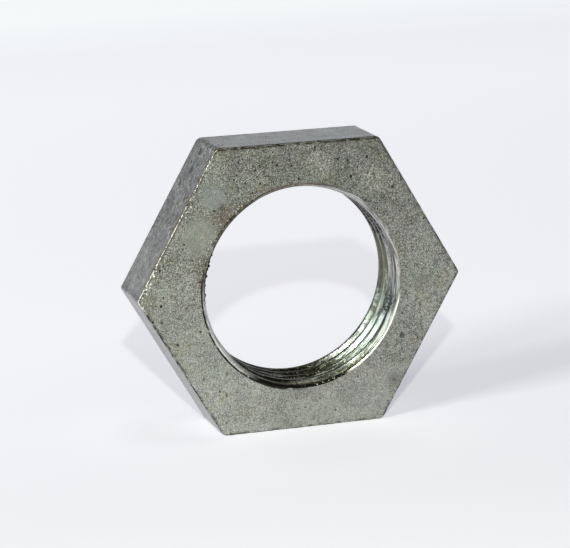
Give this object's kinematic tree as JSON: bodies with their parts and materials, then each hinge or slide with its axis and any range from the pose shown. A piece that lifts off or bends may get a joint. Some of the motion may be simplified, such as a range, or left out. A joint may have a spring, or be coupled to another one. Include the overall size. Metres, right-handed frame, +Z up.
{
  "type": "hexagon pipe lock nut",
  "caption": "Flat hexagon lock nut with a large threaded bore, countersunk at both ends, for jamming against a fitting on a parallel pipe thread.",
  "frame": {"origin": "on the surface that the nut stands on, under the middle of the hexagon", "axes": "+Z up through the top flat; +Y along the bore, from the front face to the back face; +X to the right as the front face is seen"},
  "size_m": [0.0414, 0.0082, 0.036],
  "materials": {
    "steel": "bare carbon steel, matt grey on the faces with dark pits and a little rust, bright in the thread"
  },
  "bodies": {
    "root": {"lock_nut": "steel"}
  },
  "joints": []
}
